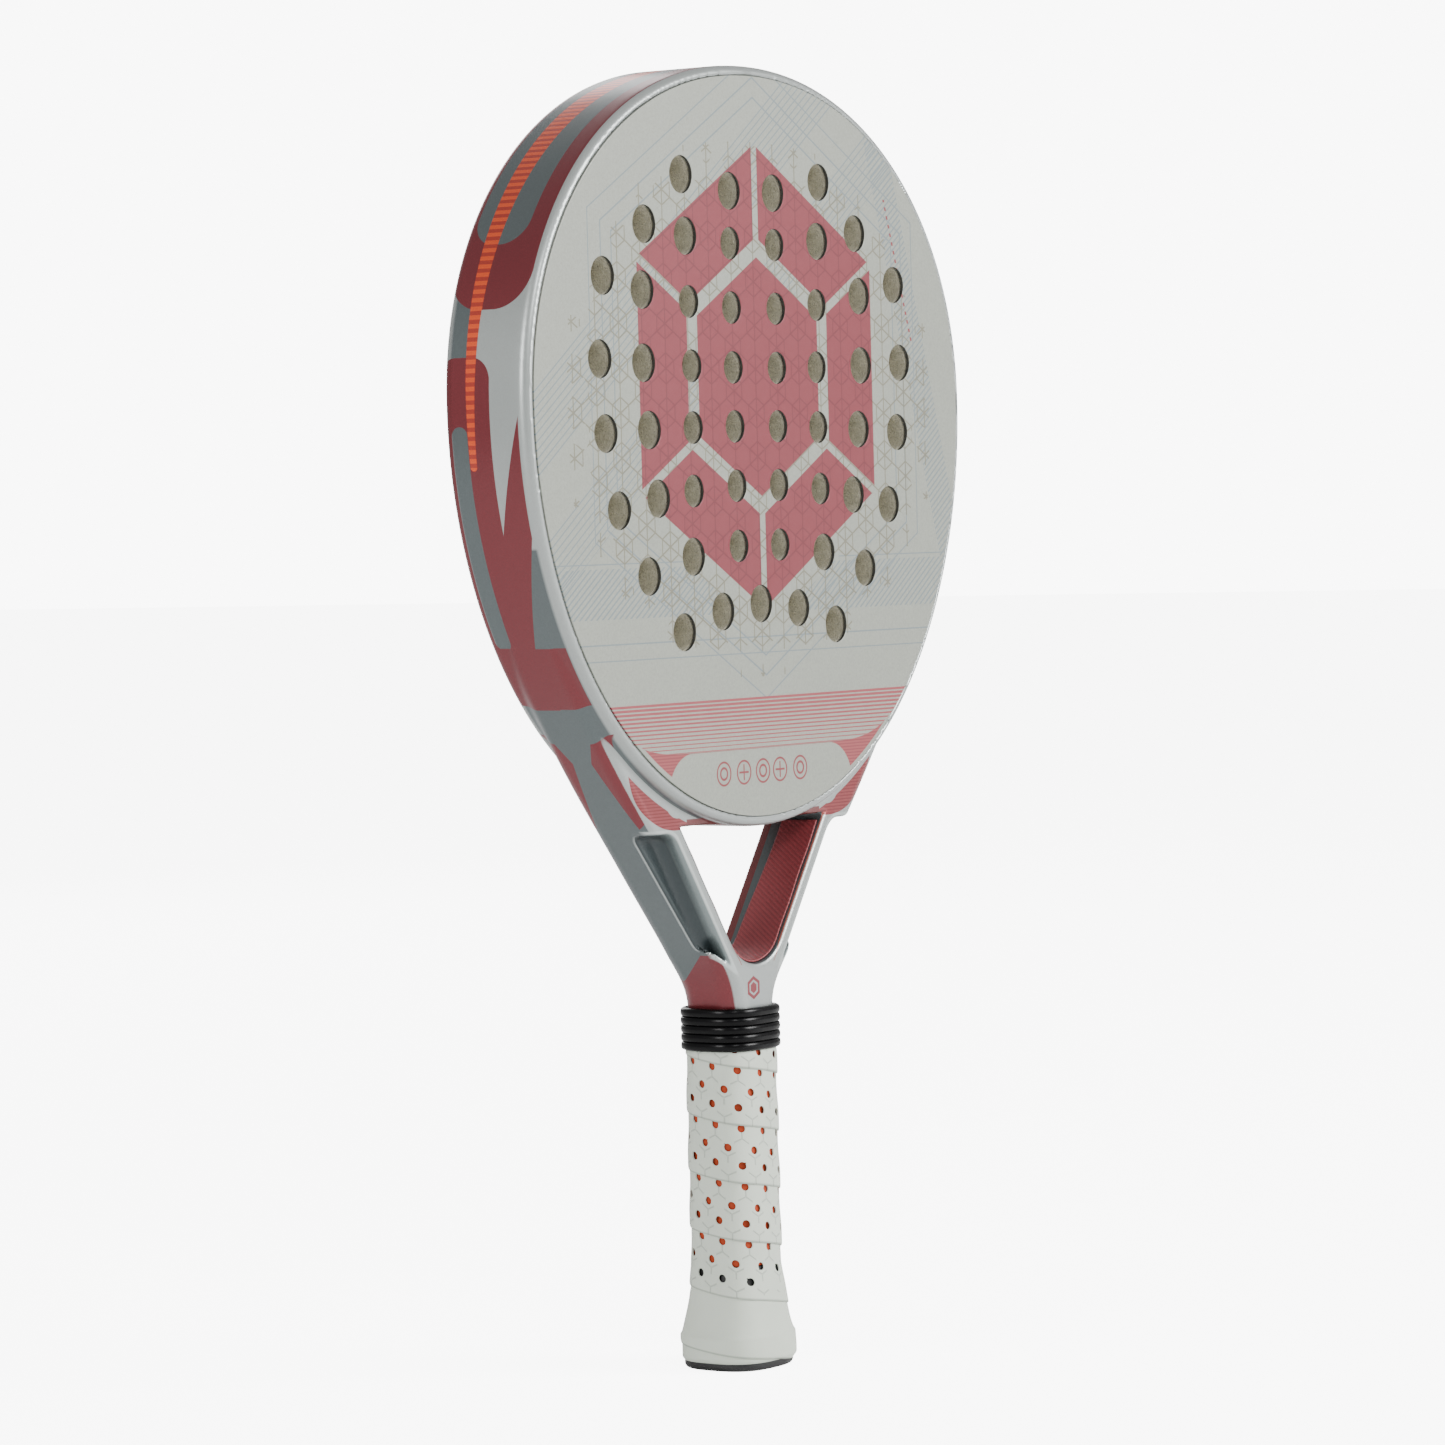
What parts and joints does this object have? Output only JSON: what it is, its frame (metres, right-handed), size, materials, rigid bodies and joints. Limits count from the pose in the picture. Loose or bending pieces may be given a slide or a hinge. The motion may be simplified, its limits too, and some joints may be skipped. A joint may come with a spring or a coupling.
{
  "type": "padel racket",
  "caption": "Padel racket: drilled faces over a foam core, a hollow moulded frame with an open throat, and a wrapped grip with a rubber collar.",
  "frame": {"origin": "centre of the butt's end face", "axes": "+Z along the handle towards the head, -Y out of the front face, +X to the right seen from the front"},
  "size_m": [0.26, 0.036, 0.455],
  "materials": {
    "frame_paint": "satin metallic grey lacquer with rose and orange fields",
    "face_paint": "satin silver-white lacquer over glass-fibre laminate",
    "rose_weave": "ribbed woven ply under rose lacquer",
    "core_foam": "drilled speckled EVA foam",
    "white_foam": "bead foam filling",
    "cast_foam": "cast polyurethane foam",
    "black_plastic": "moulded satin black",
    "black_rubber": "glossy moulded rubber",
    "rust_cushion": "cushion tape",
    "white_overgrip": "perforated polyurethane tape",
    "staple_steel": "bright wire"
  },
  "bodies": {
    "racket": {"frame_tube": "frame_paint", "throat_bridge": "frame_paint", "tube_foam_left": "white_foam", "tube_foam_right": "white_foam", "bridge_foam": "white_foam", "throat_weave_ply": "rose_weave", "core_foam": "core_foam", "face_skin_front": "face_paint", "face_skin_back": "face_paint", "handle_pallet_front": "cast_foam", "handle_pallet_back": "cast_foam", "butt_cap": "black_plastic", "cap_staple_right": "staple_steel", "cap_staple_back": "staple_steel", "cap_staple_left": "staple_steel", "cap_staple_front": "staple_steel", "base_grip": "rust_cushion", "overgrip": "white_overgrip", "finishing_tape": "white_overgrip"},
    "collar": {"grip_collar": "black_rubber"}
  },
  "joints": [
    {"name": "collar_slide", "type": "slide", "parent": "racket", "child": "collar", "axis": [0, 0, -1], "range_m": [0, 0.007]}
  ]
}
